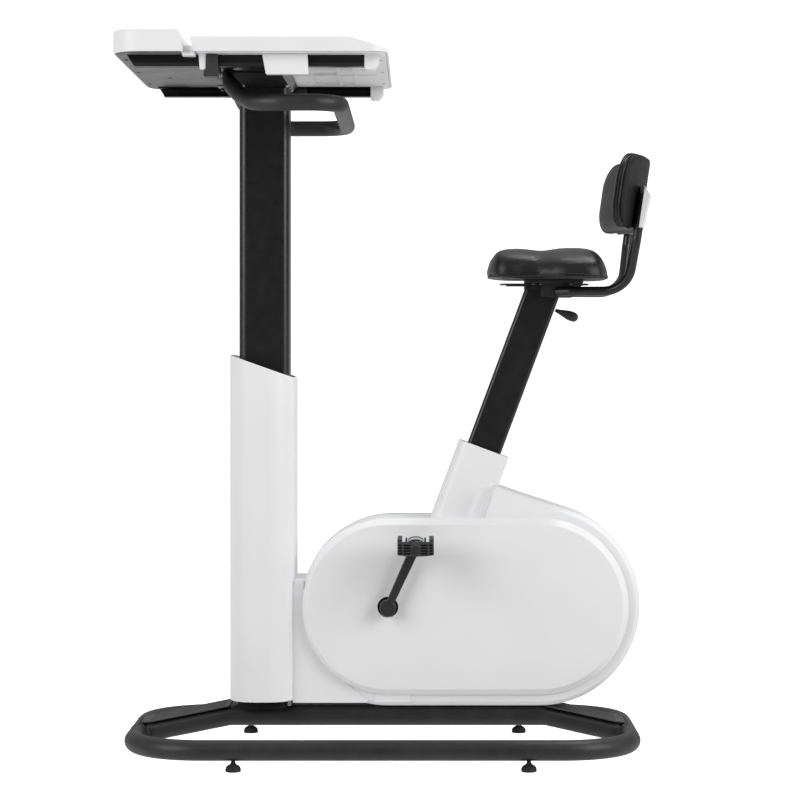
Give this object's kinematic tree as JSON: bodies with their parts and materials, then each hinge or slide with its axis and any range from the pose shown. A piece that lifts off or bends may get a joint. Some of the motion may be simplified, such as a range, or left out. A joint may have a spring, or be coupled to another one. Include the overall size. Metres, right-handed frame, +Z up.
{
  "type": "desk exercise bike",
  "caption": "Upright exercise bike with an enclosed flywheel drive, an adjustable saddle with a backrest, and a height-adjustable sliding desk on a lifting column.",
  "frame": {"origin": "on the floor, under the middle of the whole object's box", "axes": "+Z up, +X from the desk towards the backrest (the rider faces -X), +Y to the rider's right"},
  "size_m": [1.0464, 0.666, 1.41],
  "materials": {
    "white_plastic": "satin, moulded",
    "black_metal": "fine satin powder coat",
    "black_plastic": "matt, moulded",
    "grey_plastic": "matt, moulded",
    "panel_grey": "matt, moulded",
    "saddle_vinyl": "soft vinyl over foam",
    "foot_rubber": "matt",
    "steel": "plain",
    "cast_iron": "as cast",
    "belt_rubber": "matt"
  },
  "bodies": {
    "stand": {"base_ring": "black_metal", "base_spine": "black_metal", "ramp_front": "black_plastic", "ramp_rear": "black_plastic", "column_cover": "white_plastic", "column_tube": "steel", "column_bush": "black_plastic", "lift_spring": "steel", "neck_cover": "white_plastic", "shell_left": "white_plastic", "shell_right": "white_plastic", "pod_left": "white_plastic", "pod_right": "white_plastic", "seat_sleeve": "white_plastic", "seat_tube": "steel", "seat_spring": "steel", "drive_frame": "steel", "bearing_left": "steel", "bearing_right": "steel", "flywheel_axle": "steel", "brake_magnets": "cast_iron", "drive_belt": "belt_rubber"},
    "foot_front_left": {"foot_front_left": "foot_rubber"},
    "foot_front_right": {"foot_front_right": "foot_rubber"},
    "foot_rear_left": {"foot_rear_left": "foot_rubber"},
    "foot_rear_right": {"foot_rear_right": "foot_rubber"},
    "lift": {"lift_column": "black_metal", "column_head": "black_metal", "carriage": "black_metal", "handlebar": "black_metal", "lift_rod": "steel", "slider_left": "black_plastic", "slider_right": "black_plastic", "stop_block": "grey_plastic"},
    "desk": {"desk_ledge": "white_plastic", "desk_deck": "white_plastic", "slot_liner": "white_plastic", "front_panel": "panel_grey", "rear_panel": "white_plastic", "rail_left": "black_metal", "rail_right": "black_metal", "side_box": "white_plastic"},
    "seat": {"seat_post": "black_metal", "seat_head": "black_metal", "seat_rod": "steel"},
    "saddle_unit": {"saddle_base": "black_plastic", "saddle": "saddle_vinyl", "backrest_tube_left": "black_metal", "backrest_tube_right": "black_metal", "backrest_shell": "black_plastic", "backrest_pad": "saddle_vinyl", "backrest_bracket": "white_plastic"},
    "lever": {"seat_lever": "black_plastic"},
    "crankset": {"crank_spindle": "steel", "crank_left": "black_metal", "crank_right": "black_metal", "drive_pulley": "cast_iron"},
    "left_pedal": {"pedal_left": "black_plastic"},
    "right_pedal": {"pedal_right": "black_plastic"},
    "wheel": {"flywheel": "cast_iron"}
  },
  "joints": [
    {"name": "foot_front_left_turn", "type": "hinge", "parent": "stand", "child": "foot_front_left", "pos_m": [-0.298, -0.249, 0], "axis": [0, 0, 1], "continuous": true},
    {"name": "foot_front_right_turn", "type": "hinge", "parent": "stand", "child": "foot_front_right", "pos_m": [-0.298, 0.249, 0], "axis": [0, 0, 1], "continuous": true},
    {"name": "foot_rear_left_turn", "type": "hinge", "parent": "stand", "child": "foot_rear_left", "pos_m": [0.267, -0.249, 0], "axis": [0, 0, 1], "continuous": true},
    {"name": "foot_rear_right_turn", "type": "hinge", "parent": "stand", "child": "foot_rear_right", "pos_m": [0.267, 0.249, 0], "axis": [0, 0, 1], "continuous": true},
    {"name": "lift_slide", "type": "slide", "parent": "stand", "child": "lift", "axis": [0, 0, 1], "range_m": [-0.4, 0.02]},
    {"name": "desk_slide", "type": "slide", "parent": "lift", "child": "desk", "axis": [1, 0, 0], "range_m": [-0.075, 0]},
    {"name": "post_slide", "type": "slide", "parent": "stand", "child": "seat", "axis": [0.3496, 0, 0.9369], "range_m": [-0.2, 0.02]},
    {"name": "saddle_slide", "type": "slide", "parent": "seat", "child": "saddle_unit", "axis": [1, 0, 0], "range_m": [-0.025, 0.025]},
    {"name": "lever_pivot", "type": "hinge", "parent": "seat", "child": "lever", "pos_m": [0.3325, 0, 0.8853], "axis": [0, -1, 0], "range_deg": [0, 12], "stiffness_Nm_per_rad": 0.8, "springref_deg": -5.73},
    {"name": "crank_turn", "type": "hinge", "parent": "stand", "child": "crankset", "pos_m": [-0.0046, 0, 0.299], "axis": [0, 1, 0], "continuous": true},
    {"name": "pedal_turn_left", "type": "hinge", "parent": "crankset", "child": "left_pedal", "pos_m": [0.05055, -0.18, 0.42002], "axis": [0, 1, 0], "continuous": true},
    {"name": "pedal_turn_right", "type": "hinge", "parent": "crankset", "child": "right_pedal", "pos_m": [-0.05975, 0.18, 0.17798], "axis": [0, 1, 0], "continuous": true},
    {"name": "flywheel_turn", "type": "hinge", "parent": "stand", "child": "wheel", "pos_m": [0.297, 0, 0.299], "axis": [0, 1, 0], "continuous": true}
  ],
  "couplings": [
    {"joint": "flywheel_turn", "follows": "crank_turn", "ratio": 3.8636}
  ]
}
